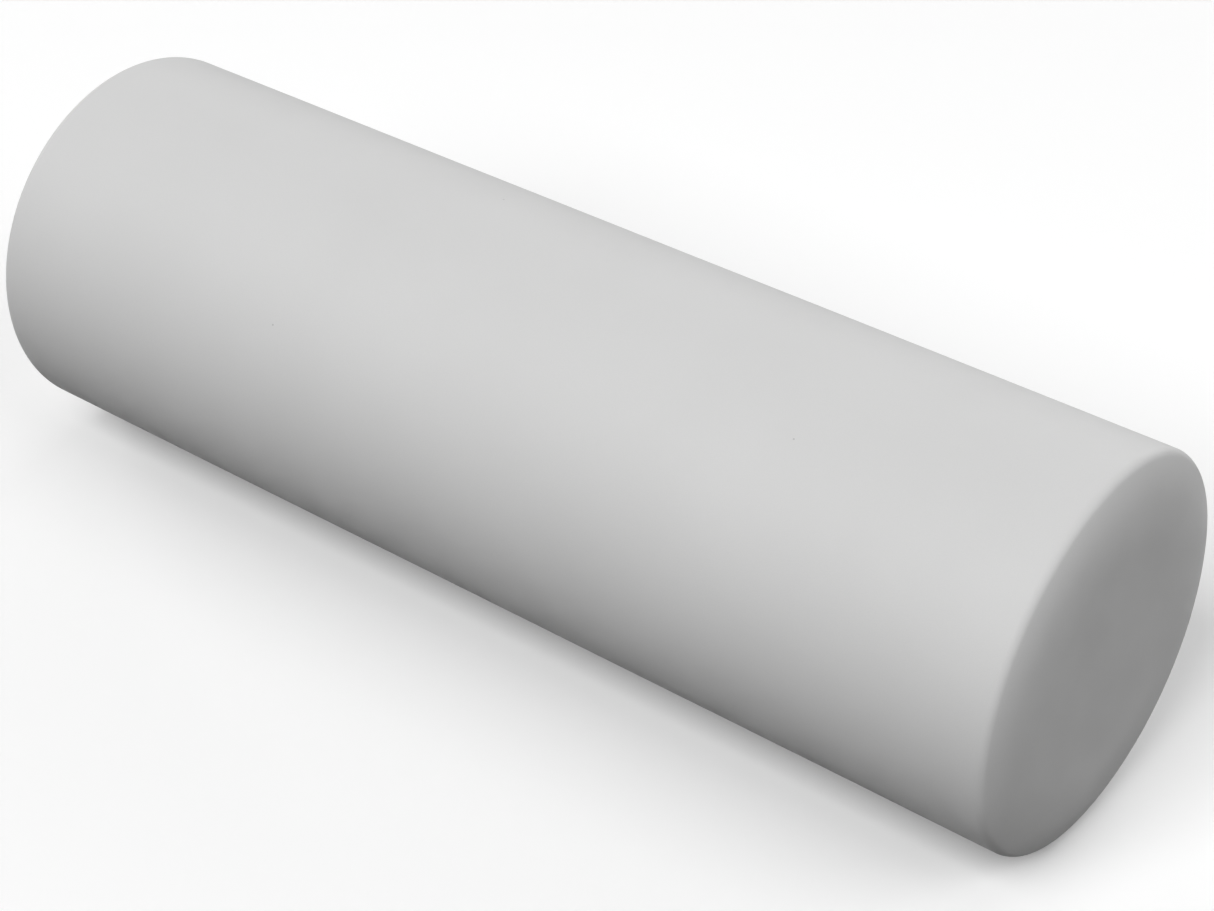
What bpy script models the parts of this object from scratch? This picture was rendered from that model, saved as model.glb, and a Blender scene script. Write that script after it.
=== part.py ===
"""Coated foam roller, lying along X with its underside on the floor at Z = 0.

A rigid tube closed by two plugs carries the load. A thick foam sleeve surrounds it, a foam pad
rounds off each end, and one seamless skin covers everything. The skin's only opening is a small
vent in the middle of the end at -X, held open by a flanged bushing.
"""

import math

import bpy

# Driving dimensions, in metres
LENGTH = 0.457
RADIUS = 0.0725
FLAT_RADIUS = 0.043
CROWN_TILT = math.radians(10)
SHOULDER_RADIUS = 0.045
EDGE_TILT = math.radians(25)
EDGE_RADIUS = 0.004
SKIN_THICKNESS = 0.0015
END_PAD_THICKNESS = 0.020
TUBE_RADIUS = 0.0315
TUBE_WALL = 0.003
PLUG_FLANGE = 0.0025
PLUG_SKIRT = 0.022
PLUG_WALL = 0.002
VENT_RADIUS = 0.004
VENT_HOLE_RADIUS = 0.0015
VENT_FLANGE_RADIUS = 0.008
VENT_FLANGE = 0.0012

# Left between neighbouring pieces, which are bonded together on the real roller
GAP = 0.0003

# Flat facets round each turned piece. The roller rests on one of them.
FACETS = 48
ARC_STEPS = 4
HARD_EDGE = math.radians(35)
MERGE_DISTANCE = 0.00001

# Sizes that follow from the ones above
HALF_LENGTH = LENGTH / 2
SHOULDER_WIDTH = SHOULDER_RADIUS * (math.sin(EDGE_TILT) - math.sin(CROWN_TILT))
EDGE_WIDTH = EDGE_RADIUS * (1 - math.sin(EDGE_TILT))
CROWN_RADIUS = (RADIUS - FLAT_RADIUS - SHOULDER_WIDTH - EDGE_WIDTH) / math.sin(CROWN_TILT)
PAD_INSET = SKIN_THICKNESS + GAP
PAD_INNER_FACE = HALF_LENGTH - PAD_INSET - END_PAD_THICKNESS
PLUG_FACE = PAD_INNER_FACE - GAP
TUBE_END = PLUG_FACE - PLUG_FLANGE - GAP
TUBE_BORE_RADIUS = TUBE_RADIUS - TUBE_WALL


def clear_scene():
    """Empties the startup scene, so that only the roller is left in it."""
    for obj in list(bpy.data.objects):
        bpy.data.objects.remove(obj)


def make_collection(name):
    collection = bpy.data.collections.new(name)
    bpy.context.scene.collection.children.link(collection)
    return collection


def make_material(name, color, roughness):
    """A plain plastic-like surface: none of the roller's pieces is metal."""
    material = bpy.data.materials.new(name)
    material.use_nodes = True
    surface = material.node_tree.nodes["Principled BSDF"]
    surface.inputs["Base Color"].default_value = (*color, 1)
    surface.inputs["Roughness"].default_value = roughness
    surface.inputs["Metallic"].default_value = 0
    material.diffuse_color = (*color, 1)
    return material


def end_outline(inset):
    """(radius, height) points of one end, from the rim of its flat middle out to the side.

    The flat middle runs into a shallow crown, the crown into a tighter shoulder, and the shoulder
    into the rounded edge. Each arc starts at the tilt where the one before it stops. The arcs
    keep their centres when the outline moves inwards by the inset.
    """
    arcs = (
        (CROWN_RADIUS, CROWN_TILT),
        (SHOULDER_RADIUS, EDGE_TILT),
        (EDGE_RADIUS, math.pi / 2),
    )
    points = [(FLAT_RADIUS, HALF_LENGTH - inset)]
    first, last_radius = 0, 0
    centre_across, centre_along = FLAT_RADIUS, HALF_LENGTH
    for radius, last in arcs:
        centre_across += (last_radius - radius) * math.sin(first)
        centre_along += (last_radius - radius) * math.cos(first)
        for step in range(1, ARC_STEPS + 1):
            tilt = first + (last - first) * step / ARC_STEPS
            across = centre_across + (radius - inset) * math.sin(tilt)
            along = centre_along + (radius - inset) * math.cos(tilt)
            points.append((across, along))
        first, last_radius = last, radius
    return points


def turn(name, outline, material, collection, closed=False, wall=None):
    """Turns (radius, height) points about Z into a piece, with the height running along Z.

    The outline starts at the top and runs down its outer side. The facets, not the corners
    between them, lie at the radii given, and one facet faces +X. With a wall, the outline is the
    outer face of a shell of that thickness.
    """
    half_facet = math.pi / FACETS
    points = [(radius, radius * math.tan(half_facet), height) for radius, height in outline]
    edges = [(i, i + 1) for i in range(len(points) - 1)]
    if closed:
        edges.append((len(points) - 1, 0))
    profile = bpy.data.meshes.new(name)
    profile.from_pydata(points, edges, [])
    piece = bpy.data.objects.new(name, profile)
    collection.objects.link(piece)

    screw = piece.modifiers.new("turn", "SCREW")
    screw.axis = "Z"
    screw.steps = FACETS
    screw.render_steps = FACETS
    screw.use_merge_vertices = True
    screw.merge_threshold = MERGE_DISTANCE
    if wall is not None:
        solidify = piece.modifiers.new("wall", "SOLIDIFY")
        solidify.thickness = wall
        solidify.offset = -1
        solidify.use_even_offset = True

    graph = bpy.context.evaluated_depsgraph_get()
    turned = bpy.data.meshes.new_from_object(piece.evaluated_get(graph))
    piece.modifiers.clear()
    piece.data = turned
    bpy.data.meshes.remove(profile)
    turned.name = name
    turned.shade_smooth()
    turned.set_sharp_from_angle(angle=HARD_EDGE)
    turned.materials.append(material)
    return piece


def ring(outer, inner, top, bottom):
    """The closed section of a plain tube."""
    return [(outer, top), (outer, bottom), (inner, bottom), (inner, top)]


def make_axis(collection):
    """An empty on the roller's own axis. Its Z points along the roller, to the plain end."""
    axis = bpy.data.objects.new("roller_axis", None)
    axis.location = (0, 0, RADIUS)
    axis.rotation_euler = (0, math.pi / 2, 0)
    collection.objects.link(axis)
    return axis


def make_skin(material, collection):
    """The seamless coating: closed at the plain end, open only at the vent in the other."""
    plain_end = end_outline(0)
    vent_end = [(radius, -height) for radius, height in reversed(plain_end)]
    outline = [(0, HALF_LENGTH), *plain_end, *vent_end, (VENT_RADIUS + GAP, -HALF_LENGTH)]
    return turn("skin", outline, material, collection, wall=SKIN_THICKNESS)


def make_foam_sleeve(material, collection):
    """The thick soft layer, as long as the tube with its plugs."""
    section = ring(RADIUS - PAD_INSET, TUBE_RADIUS + GAP, PLUG_FACE, -PLUG_FACE)
    return turn("foam_sleeve", section, material, collection, closed=True)


def make_core_tube(material, collection):
    """The rigid pipe that keeps the roller straight under a person's weight."""
    section = ring(TUBE_RADIUS, TUBE_BORE_RADIUS, TUBE_END, -TUBE_END)
    return turn("core_tube", section, material, collection, closed=True)


def make_tube_plug(name, material, collection):
    """A flanged cup. Its skirt fills the tube's mouth and its flange covers the tube's end."""
    skirt_radius = TUBE_BORE_RADIUS - GAP
    cup_radius = skirt_radius - PLUG_WALL
    skirt_end = TUBE_END - PLUG_SKIRT
    outline = [
        (0, PLUG_FACE),
        (TUBE_RADIUS, PLUG_FACE),
        (TUBE_RADIUS, PLUG_FACE - PLUG_FLANGE),
        (skirt_radius, PLUG_FACE - PLUG_FLANGE),
        (skirt_radius, skirt_end),
        (cup_radius, skirt_end),
        (cup_radius, PLUG_FACE - PLUG_FLANGE),
        (0, PLUG_FACE - PLUG_FLANGE),
    ]
    return turn(name, outline, material, collection)


def make_end_pad(name, material, collection, vented):
    """A foam disc that gives an end its crown. The vented one has a pocket for the bushing."""
    crown = end_outline(PAD_INSET)
    face = HALF_LENGTH - PAD_INSET
    outline = [(0, face)]
    if vented:
        pocket_radius = VENT_FLANGE_RADIUS + GAP
        pocket_floor = face - VENT_FLANGE - GAP
        outline = [(0, pocket_floor), (pocket_radius, pocket_floor), (pocket_radius, face)]
    outline += [*crown, (RADIUS - PAD_INSET, PAD_INNER_FACE), (0, PAD_INNER_FACE)]
    return turn(name, outline, material, collection)


def make_vent_bushing(material, collection):
    """A short flanged tube: its neck stands in the skin's opening, its flange lies beneath."""
    mouth = HALF_LENGTH - GAP
    shoulder = HALF_LENGTH - PAD_INSET
    bottom = shoulder - VENT_FLANGE
    outline = [
        (VENT_RADIUS, mouth),
        (VENT_RADIUS, shoulder),
        (VENT_FLANGE_RADIUS, shoulder),
        (VENT_FLANGE_RADIUS, bottom),
        (VENT_HOLE_RADIUS, bottom),
        (VENT_HOLE_RADIUS, mouth),
    ]
    return turn("vent_bushing", outline, material, collection, closed=True)


def face_vent_end(piece):
    """Turns a piece that was made for the plain end round to the other end."""
    piece.rotation_euler = (math.pi, 0, 0)


def main():
    clear_scene()
    roller = make_collection("foam_roller")
    coating = make_material("coating", (0.78, 0.78, 0.78), 0.6)
    sleeve_foam = make_material("sleeve_foam", (0.86, 0.85, 0.80), 0.95)
    pad_foam = make_material("pad_foam", (0.80, 0.80, 0.78), 0.95)
    pipe = make_material("pipe", (0.42, 0.44, 0.46), 0.4)
    plug_plastic = make_material("plug_plastic", (0.12, 0.12, 0.13), 0.5)
    vent_plastic = make_material("vent_plastic", (0.70, 0.70, 0.70), 0.5)

    pieces = [
        make_skin(coating, roller),
        make_foam_sleeve(sleeve_foam, roller),
        make_core_tube(pipe, roller),
        make_tube_plug("plain_end_plug", plug_plastic, roller),
        make_end_pad("plain_end_pad", pad_foam, roller, vented=False),
    ]
    vent_end_pieces = [
        make_tube_plug("vent_end_plug", plug_plastic, roller),
        make_end_pad("vent_end_pad", pad_foam, roller, vented=True),
        make_vent_bushing(vent_plastic, roller),
    ]
    for piece in vent_end_pieces:
        face_vent_end(piece)
    axis = make_axis(roller)
    for piece in pieces + vent_end_pieces:
        piece.parent = axis


main()
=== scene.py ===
"""The looks of the coated foam roller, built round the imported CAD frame.

The roller lies along X on the floor, with its plain end at +X and its vented end at -X. Lengths
are in metres. In an outline, a point is (radius, place along X), and angles round the roller
start at its underside.
"""

import math

import bpy
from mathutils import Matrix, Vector, noise


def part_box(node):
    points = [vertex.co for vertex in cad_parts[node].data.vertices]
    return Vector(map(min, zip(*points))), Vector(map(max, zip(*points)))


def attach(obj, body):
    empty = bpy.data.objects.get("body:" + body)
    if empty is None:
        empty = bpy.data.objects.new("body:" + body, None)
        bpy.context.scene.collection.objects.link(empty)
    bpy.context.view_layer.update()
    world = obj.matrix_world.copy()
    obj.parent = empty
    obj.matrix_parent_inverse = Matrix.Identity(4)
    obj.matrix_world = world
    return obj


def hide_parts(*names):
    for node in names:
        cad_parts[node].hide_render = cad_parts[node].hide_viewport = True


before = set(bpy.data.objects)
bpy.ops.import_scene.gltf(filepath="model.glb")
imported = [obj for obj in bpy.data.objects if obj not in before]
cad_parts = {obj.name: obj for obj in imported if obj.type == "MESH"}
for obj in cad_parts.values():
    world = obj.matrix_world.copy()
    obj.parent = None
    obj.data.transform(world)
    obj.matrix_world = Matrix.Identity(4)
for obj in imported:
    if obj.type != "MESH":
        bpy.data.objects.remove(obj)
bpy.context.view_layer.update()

# The roller, read from the CAD
SKIN_LOW, SKIN_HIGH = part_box("skin")
RADIUS = (SKIN_HIGH.y - SKIN_LOW.y) / 2
HALF_LENGTH = SKIN_HIGH.x
AXIS_HEIGHT = (SKIN_LOW.z + SKIN_HIGH.z) / 2
SLEEVE_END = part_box("foam_sleeve")[1].x
TUBE_LOW, TUBE_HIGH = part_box("core_tube")
TUBE_RADIUS = (TUBE_HIGH.y - TUBE_LOW.y) / 2
PAD_LOW, PAD_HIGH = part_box("plain_end_pad")
VENT_LOW, VENT_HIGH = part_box("vent_bushing")

# The shape of an end, as the CAD has it
FLAT_RADIUS = 0.043
CROWN_TILT = math.radians(10)
SHOULDER_RADIUS = 0.045
EDGE_TILT = math.radians(25)
EDGE_RADIUS = 0.004
SKIN_THICKNESS = 0.0015
GAP = 0.0003
PAD_INSET = SKIN_THICKNESS + GAP
SHOULDER_WIDTH = SHOULDER_RADIUS * (math.sin(EDGE_TILT) - math.sin(CROWN_TILT))
EDGE_WIDTH = EDGE_RADIUS * (1 - math.sin(EDGE_TILT))
CROWN_RADIUS = (RADIUS - FLAT_RADIUS - SHOULDER_WIDTH - EDGE_WIDTH) / math.sin(CROWN_TILT)
VENT_NECK_RADIUS = 0.004
VENT_HOLE_RADIUS = 0.0015
LIP_RADIUS = 0.0006

SLEEVE_CORNER = 0.0008
MOUTH_RADIUS = 0.0004

# How finely the pieces are meshed: steps round the roller, then along each stretch of outline
AROUND = 288
FOAM_AROUND = 144
BUSHING_AROUND = 64
FLAT_RINGS = 10
PAD_FLAT_RINGS = 6
INNER_FLAT_RINGS = 4
CROWN_STEPS = 10
SHOULDER_STEPS = 8
EDGE_STEPS = 14
SIDE_STEPS = 96
INNER_SIDE_STEPS = 8
LIP_STEPS = 6
CORNER_STEPS = 4
MOUTH_STEPS = 5
ON_AXIS = 1e-9
SAME_POINT = 1e-7

# What foam does to a true cylinder. The flat where it rests and the bulge beside it fade in over
# the outer shares of the end's radius, and the unevenness fades out towards the floor.
PATCH_HALF_ANGLE = math.radians(3.75)
BULGE_ANGLE = math.radians(16)
RESTING_FROM = 0.93
SIDE_FROM = 0.8
UNEVENNESS = 0.00006
UNEVEN_SCALE = 11.0
EVEN_ANGLE = 0.5

# The photograph's view
CAMERA_AZIMUTH = math.radians(38.07)
CAMERA_ELEVATION = math.radians(35.11)
CAMERA_DISTANCE = 1.0329
CAMERA_AIM = Vector((0.0184, 0, 0.0642))
LENS_MM = 83.89

# The stage. The floor lies a hair below the roller, so that the two faces don't coincide.
FLOOR_SIZE = 4.6
FLOOR_DROP = 0.0001
FLOOR_GLOW = 0.1

# Soft boxes: each one's direction from the roller, and its power in watts
LIGHT_DISTANCE = 5.0
LIGHT_SIZE = 3.0
LIGHTS = {
    "front_high": ((0.0, -0.7, 0.7), 210),
    "right_high": ((0.7, 0.0, 0.7), 70),
    "right": ((1.0, 0.0, 0.3), 7),
    "left": ((-1.0, 0.0, 0.3), 80),
    "back": ((0.0, 1.0, 0.3), 100),
    "back_left": ((-0.7, 0.7, 0.35), 28),
    "back_right": ((0.7, 0.7, 0.35), 29),
}


# ---------------------------------------------------------------- mesh code


def smooth_step(share):
    """Eases from 0 to 1 as the share does, and holds still beyond."""
    share = max(0.0, min(1.0, share))
    return share * share * (3 - 2 * share)


def arc(centre, radius, first, last, steps):
    """Points on an arc, its angles counted from +X towards growing radius."""
    points = []
    for step in range(steps + 1):
        tilt = first + (last - first) * step / steps
        points.append((centre[0] + radius * math.sin(tilt), centre[1] + radius * math.cos(tilt)))
    return points


def run(start, end, steps):
    """Evenly spaced points from start to end, both included."""
    return [
        tuple(a + (b - a) * step / steps for a, b in zip(start, end))
        for step in range(steps + 1)
    ]


def joined(*stretches):
    """One outline from several, each point that two stretches share taken once."""
    points = []
    for stretch in stretches:
        for point in stretch:
            if not points or math.dist(points[-1], point) > SAME_POINT:
                points.append(point)
    return points


def end_curve(inset):
    """An end from the rim of its flat middle out to the side: a crown, a shoulder and an edge.

    Each arc starts at the tilt where the one before it stops, so that they meet smoothly.
    """
    stops = (
        (CROWN_RADIUS, CROWN_TILT, CROWN_STEPS),
        (SHOULDER_RADIUS, EDGE_TILT, SHOULDER_STEPS),
        (EDGE_RADIUS, math.pi / 2, EDGE_STEPS),
    )
    centre = (FLAT_RADIUS, HALF_LENGTH - CROWN_RADIUS)
    curve, tilt, last_radius = [], 0, CROWN_RADIUS
    for radius, next_tilt, steps in stops:
        back = last_radius - radius
        centre = (centre[0] + back * math.sin(tilt), centre[1] + back * math.cos(tilt))
        curve = joined(curve, arc(centre, radius - inset, tilt, next_tilt, steps))
        tilt, last_radius = next_tilt, radius
    return curve


def mirrored(outline):
    """The same outline at the other end, run the other way."""
    return [(radius, -along) for radius, along in reversed(outline)]


def place(radius, along, angle):
    """A point of the roller in space."""
    return Vector((along, radius * math.sin(angle), AXIS_HEIGHT - radius * math.cos(angle)))


def turned(name, outline, around=AROUND, closed=False, shape=place):
    """A mesh turned about the roller's axis from an outline that runs towards -X on its outer side.

    Points on the axis become poles. shape(radius, along, angle) gives each point's place.
    """
    vertices, rings = [], []
    for radius, along in outline:
        if radius < ON_AXIS:
            rings.append([len(vertices)] * around)
            vertices.append(place(0, along, 0))
            continue
        rings.append(range(len(vertices), len(vertices) + around))
        for step in range(around):
            vertices.append(shape(radius, along, 2 * math.pi * step / around))
    faces = []
    pairs = list(zip(rings, rings[1:]))
    if closed:
        pairs.append((rings[-1], rings[0]))
    for first, second in pairs:
        for step in range(around):
            ahead = (step + 1) % around
            corners = [first[step], second[step], second[ahead], first[ahead]]
            faces.append(list(dict.fromkeys(corners)))
    mesh = bpy.data.meshes.new(name)
    mesh.from_pydata(vertices, [], faces)
    mesh.validate()
    mesh.shade_smooth()
    piece = bpy.data.objects.new(name, mesh)
    bpy.context.scene.collection.objects.link(piece)
    return piece


def coat(piece, material):
    """Gives a piece one material all over."""
    piece.data.materials.clear()
    piece.data.materials.append(material)


def stand_in(piece, material, node):
    """Puts a new piece in the place of a CAD node."""
    coat(piece, material)
    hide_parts(node)
    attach(piece, "root")


# ---------------------------------------------------------------- pieces


def resting_radius(radius, angle):
    """The radius of the soft side near the floor: flat where it rests, a slight bulge beside it."""
    away = min(angle, 2 * math.pi - angle)
    if away <= PATCH_HALF_ANGLE:
        return radius / math.cos(away)
    spare = 1 / math.cos(PATCH_HALF_ANGLE) - 1
    fade = smooth_step((away - PATCH_HALF_ANGLE) / BULGE_ANGLE)
    return radius * (1 + spare * (1 - fade))


def foam_shape(radius, along, angle):
    """A point of the skin's outer face, with the contact patch and foam's slight unevenness."""
    still = place(radius, along, angle)
    share = smooth_step((radius / RADIUS - RESTING_FROM) / (1 - RESTING_FROM))
    radius += share * (resting_radius(radius, angle) - radius)
    off_floor = smooth_step(min(angle, 2 * math.pi - angle) / EVEN_ANGLE)
    wave = noise.noise(still * UNEVEN_SCALE) * UNEVENNESS * off_floor
    side = smooth_step((radius / RADIUS - SIDE_FROM) / (1 - SIDE_FROM))
    point = place(radius + wave * side, along, angle)
    if side < 1:
        point.x += math.copysign(wave * (1 - side), along)
    return point


def make_skin():
    """One continuous coating: outer face, rolled lip at the vent, and inner face."""
    lip = VENT_NECK_RADIUS + GAP
    end = end_curve(0)
    inner_end = end_curve(SKIN_THICKNESS)
    inner_face = HALF_LENGTH - SKIN_THICKNESS
    lip_centre = (lip + LIP_RADIUS, -HALF_LENGTH + LIP_RADIUS)
    outer = joined(
        run((0, HALF_LENGTH), (FLAT_RADIUS, HALF_LENGTH), FLAT_RINGS),
        end,
        run(end[-1], (RADIUS, -end[-1][1]), SIDE_STEPS),
        mirrored(end),
        run((FLAT_RADIUS, -HALF_LENGTH), (lip_centre[0], -HALF_LENGTH), FLAT_RINGS),
        arc(lip_centre, LIP_RADIUS, math.pi, 1.5 * math.pi, LIP_STEPS),
    )
    inner = joined(
        run((lip, -inner_face), (FLAT_RADIUS, -inner_face), INNER_FLAT_RINGS),
        list(reversed(mirrored(inner_end))),
        run((inner_end[-1][0], -inner_end[-1][1]), inner_end[-1], INNER_SIDE_STEPS),
        list(reversed(inner_end)),
        [(0, inner_face)],
    )
    return turned("roller_skin", outer + inner, shape=foam_shape)


def make_foam_sleeve():
    """The thick soft tube, its ends cut clean and its corners barely broken."""
    outer = RADIUS - PAD_INSET
    inner = TUBE_RADIUS + GAP
    end = SLEEVE_END
    soft = SLEEVE_CORNER
    centres = (
        (outer - soft, end - soft),
        (outer - soft, -end + soft),
        (inner + soft, -end + soft),
        (inner + soft, end - soft),
    )
    quarter = math.pi / 2
    outline = joined(*(
        arc(centre, soft, number * quarter, (number + 1) * quarter, CORNER_STEPS)
        for number, centre in enumerate(centres)
    ))
    return turned("foam_sleeve_soft", outline, around=FOAM_AROUND, closed=True)


def make_end_pad(name, vented):
    """A foam disc with the end's crown. The vented one has a pocket under the bushing."""
    face = PAD_HIGH.x
    back = PAD_LOW.x
    curve = end_curve(PAD_INSET)
    outer = RADIUS - PAD_INSET
    start = [(0, face)]
    if vented:
        pocket = (VENT_HIGH.y - VENT_LOW.y) / 2 + GAP
        floor = -VENT_HIGH.x - GAP
        start = [(0, floor), (pocket, floor), (pocket, face)]
    flat = run((start[-1][0], face), (FLAT_RADIUS, face), PAD_FLAT_RINGS)
    outline = joined(start, flat, curve, [(outer, back), (0, back)])
    if vented:
        outline = mirrored(outline)
    return turned(name, outline, around=FOAM_AROUND)


def make_vent_bushing():
    """The moulded bushing: a neck with a rounded mouth, and the flange under the skin."""
    mouth, bottom = VENT_LOW.x, VENT_HIGH.x
    shoulder = -HALF_LENGTH + PAD_INSET
    flange = (VENT_HIGH.y - VENT_LOW.y) / 2
    soft = MOUTH_RADIUS
    outline = joined(
        [(flange, shoulder)],
        [(VENT_NECK_RADIUS, shoulder)],
        arc((VENT_NECK_RADIUS - soft, mouth + soft), soft, math.pi / 2, math.pi, MOUTH_STEPS),
        arc((VENT_HOLE_RADIUS + soft, mouth + soft), soft, math.pi, 1.5 * math.pi, MOUTH_STEPS),
        [(VENT_HOLE_RADIUS, bottom), (flange, bottom)],
    )
    return turned("vent_bushing_moulded", outline, around=BUSHING_AROUND, closed=True)


# ---------------------------------------------------------------- materials


class Look:
    """A procedural material: a Principled shader and short calls for the nodes that feed it.

    The scales of noise and cells count features per metre.
    """

    def __init__(self, name):
        self.material = bpy.data.materials.new(name)
        self.material.use_nodes = True
        self.nodes = self.material.node_tree.nodes
        self.links = self.material.node_tree.links
        self.surface = self.nodes["Principled BSDF"]
        self.place = self.nodes.new("ShaderNodeTexCoord").outputs["Object"]

    def fixed(self, **values):
        """Values that are the same all over the surface, set on the shader's own sockets."""
        for name, value in values.items():
            self.surface.inputs[name.replace("_", " ")].default_value = value

    def stretched(self, factors):
        """Coordinates squeezed along an axis, so that a texture runs out long along it."""
        mapping = self.nodes.new("ShaderNodeMapping")
        mapping.inputs["Scale"].default_value = factors
        self.links.new(self.place, mapping.inputs["Vector"])
        return mapping.outputs["Vector"]

    def noise(self, scale, detail=2.0, roughness=0.5, vector=None):
        node = self.nodes.new("ShaderNodeTexNoise")
        node.inputs["Scale"].default_value = scale
        node.inputs["Detail"].default_value = detail
        node.inputs["Roughness"].default_value = roughness
        self.links.new(vector or self.place, node.inputs["Vector"])
        return node.outputs["Fac"]

    def cells(self, scale):
        """The distance to the nearest of the points scattered through space."""
        node = self.nodes.new("ShaderNodeTexVoronoi")
        node.inputs["Scale"].default_value = scale
        self.links.new(self.place, node.inputs["Vector"])
        return node.outputs["Distance"]

    def ranged(self, value, low, high, to_low, to_high):
        """Eases a value that runs from low to high into one from to_low to to_high."""
        node = self.nodes.new("ShaderNodeMapRange")
        node.interpolation_type = "SMOOTHSTEP"
        for name, number in (
            ("From Min", low), ("From Max", high), ("To Min", to_low), ("To Max", to_high)
        ):
            node.inputs[name].default_value = number
        self.links.new(value, node.inputs["Value"])
        return node.outputs["Result"]

    def multiplied(self, first, second):
        node = self.nodes.new("ShaderNodeMath")
        node.operation = "MULTIPLY"
        self.links.new(first, node.inputs[0])
        self.links.new(second, node.inputs[1])
        return node.outputs["Value"]

    def tinted(self, factor, low, high):
        """A colour between two, by factor."""
        node = self.nodes.new("ShaderNodeMix")
        node.data_type = "RGBA"
        for name, value in (("A", low), ("B", high)):
            socket = next(s for s in node.inputs if s.name == name and s.type == "RGBA")
            if isinstance(value, tuple):
                socket.default_value = (*value, 1)
            else:
                self.links.new(value, socket)
        self.links.new(factor, node.inputs["Factor"])
        return next(s for s in node.outputs if s.type == "RGBA")

    def color(self, value):
        self.links.new(value, self.surface.inputs["Base Color"])

    def rough(self, value):
        self.links.new(value, self.surface.inputs["Roughness"])

    def bumps(self, *heights):
        """Bumps laid over each other, each a (height, depth in metres) pair."""
        last = None
        for height, depth in heights:
            bump = self.nodes.new("ShaderNodeBump")
            bump.inputs["Distance"].default_value = depth
            self.links.new(height, bump.inputs["Height"])
            if last is not None:
                self.links.new(last, bump.inputs["Normal"])
            last = bump.outputs["Normal"]
        self.links.new(last, self.surface.inputs["Normal"])


def coating_look():
    """Matte flexible coating: fine dry grain, a little orange peel, faint mottling, rare specks."""
    look = Look("coating_matte")
    look.fixed(Specular_IOR_Level=0.28, Sheen_Weight=0.06, Sheen_Roughness=0.6)
    mottle = look.ranged(look.noise(16, 4), 0.35, 0.65, 0.0, 1.0)
    clean = look.tinted(mottle, (0.660, 0.660, 0.658), (0.672, 0.672, 0.670))
    grain = look.noise(2600, 2, 0.7)
    fine = look.tinted(look.ranged(grain, 0.3, 0.7, 0.0, 0.2), clean, (0.59, 0.59, 0.59))
    speck = look.ranged(look.cells(34), 0.010, 0.017, 0.6, 0.0)
    look.color(look.tinted(speck, fine, (0.36, 0.36, 0.36)))
    look.rough(look.ranged(look.noise(60, 3), 0.3, 0.7, 0.56, 0.66))
    look.bumps((look.noise(210, 2), 0.00003), (grain, 0.00003))
    return look.material


def foam_look(name, light, dark, pores):
    """Cut soft foam: small open cells and a dull, uneven tone."""
    look = Look(name)
    look.fixed(Specular_IOR_Level=0.1, Roughness=0.95)
    cell = look.cells(pores)
    tone = look.multiplied(look.ranged(cell, 0.1, 0.5, 0.5, 1.0), look.noise(40, 3))
    look.color(look.tinted(tone, dark, light))
    look.bumps((look.noise(90, 3), 0.0003), (cell, 0.0006))
    return look.material


def pipe_look():
    """Extruded pipe: faint draw lines along its length."""
    look = Look("pipe_extruded")
    lines = look.noise(700, 2, vector=look.stretched((0.012, 1, 1)))
    look.color(look.tinted(lines, (0.36, 0.38, 0.40), (0.47, 0.49, 0.51)))
    look.rough(look.ranged(look.noise(80, 3), 0.3, 0.7, 0.34, 0.48))
    look.bumps((lines, 0.00004))
    return look.material


def moulded_look(name, light, dark):
    """Moulded plastic with a fine spark-eroded texture."""
    look = Look(name)
    spark = look.noise(3000, 2)
    look.color(look.tinted(look.noise(120, 3), dark, light))
    look.rough(look.ranged(spark, 0.3, 0.7, 0.42, 0.58))
    look.bumps((spark, 0.00003))
    return look.material


def floor_look():
    """Plain pale floor, lit a little from within as a light table is."""
    look = Look("floor_pale")
    look.fixed(Specular_IOR_Level=0.2, Roughness=0.8)
    look.fixed(Emission_Color=(1, 1, 1, 1), Emission_Strength=FLOOR_GLOW)
    look.color(look.tinted(look.noise(3, 2), (0.93, 0.93, 0.93), (0.95, 0.95, 0.95)))
    return look.material


# ---------------------------------------------------------------- stage


def make_floor():
    """The floor. Diffuse rays miss it, so that its bounce doesn't light the roller's underside."""
    bpy.ops.mesh.primitive_plane_add(size=FLOOR_SIZE, location=(0, 0, -FLOOR_DROP))
    floor = bpy.context.object
    floor.name = "floor"
    floor.data.materials.append(floor_look())
    floor.visible_diffuse = False


def make_light(name, direction, power):
    """A square soft box that faces the roller."""
    light = bpy.data.lights.new(name, "AREA")
    light.shape = "SQUARE"
    light.size = LIGHT_SIZE
    light.energy = power
    lamp = bpy.data.objects.new(name, light)
    towards = Vector(direction).normalized()
    lamp.location = Vector((0, 0, AXIS_HEIGHT)) + towards * LIGHT_DISTANCE
    lamp.rotation_euler = (-towards).to_track_quat("-Z", "Y").to_euler()
    bpy.context.scene.collection.objects.link(lamp)


def make_lights():
    for name, (direction, power) in LIGHTS.items():
        make_light(name, direction, power)


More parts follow.
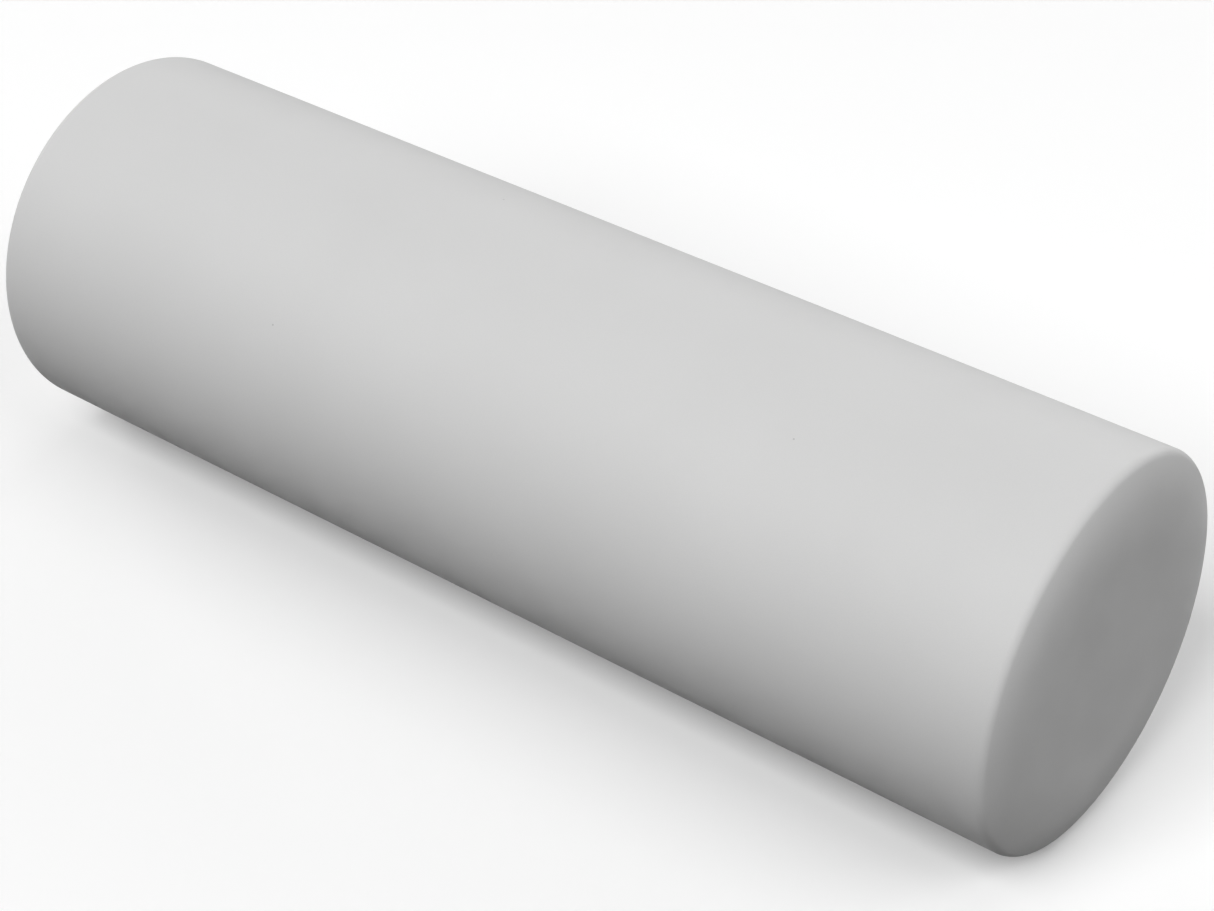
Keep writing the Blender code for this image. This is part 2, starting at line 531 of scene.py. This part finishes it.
def make_backdrop():
    """A white surround that only the camera sees, so that it lights nothing."""
    world = bpy.data.worlds.new("studio")
    world.use_nodes = True
    background = world.node_tree.nodes["Background"]
    background.inputs["Color"].default_value = (1, 1, 1, 1)
    background.inputs["Strength"].default_value = 1.0
    world.cycles_visibility.diffuse = False
    world.cycles_visibility.glossy = False
    bpy.context.scene.world = world


def make_camera():
    """The camera at the photograph's viewing angle."""
    level = math.cos(CAMERA_ELEVATION)
    back = Vector((
        math.sin(CAMERA_AZIMUTH) * level,
        -math.cos(CAMERA_AZIMUTH) * level,
        math.sin(CAMERA_ELEVATION),
    ))
    data = bpy.data.cameras.new("camera")
    data.lens = LENS_MM
    camera = bpy.data.objects.new("camera", data)
    camera.location = CAMERA_AIM + back * CAMERA_DISTANCE
    camera.rotation_euler = (-back).to_track_quat("-Z", "Y").to_euler()
    bpy.context.scene.collection.objects.link(camera)
    bpy.context.scene.camera = camera


# ---------------------------------------------------------------- the roller


def make_roller():
    skin = make_skin()
    stand_in(skin, coating_look(), "skin")
    sleeve = make_foam_sleeve()
    sleeve_foam = foam_look("sleeve_foam", (0.86, 0.84, 0.77), (0.70, 0.67, 0.58), 900)
    stand_in(sleeve, sleeve_foam, "foam_sleeve")
    pad_foam = foam_look("pad_foam", (0.82, 0.82, 0.80), (0.64, 0.64, 0.62), 1200)
    for end in ("plain", "vent"):
        pad = make_end_pad(f"{end}_end_pad_soft", vented=end == "vent")
        stand_in(pad, pad_foam, f"{end}_end_pad")
    vent_plastic = moulded_look("vent_plastic", (0.60, 0.60, 0.60), (0.52, 0.52, 0.52))
    stand_in(make_vent_bushing(), vent_plastic, "vent_bushing")
    coat(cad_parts["core_tube"], pipe_look())
    plug_plastic = moulded_look("plug_plastic", (0.13, 0.13, 0.14), (0.07, 0.07, 0.08))
    for end in ("plain", "vent"):
        coat(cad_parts[f"{end}_end_plug"], plug_plastic)


# A plain transform keeps a white floor white
bpy.context.scene.view_settings.view_transform = "Standard"
make_roller()
make_floor()
make_lights()
make_backdrop()
make_camera()
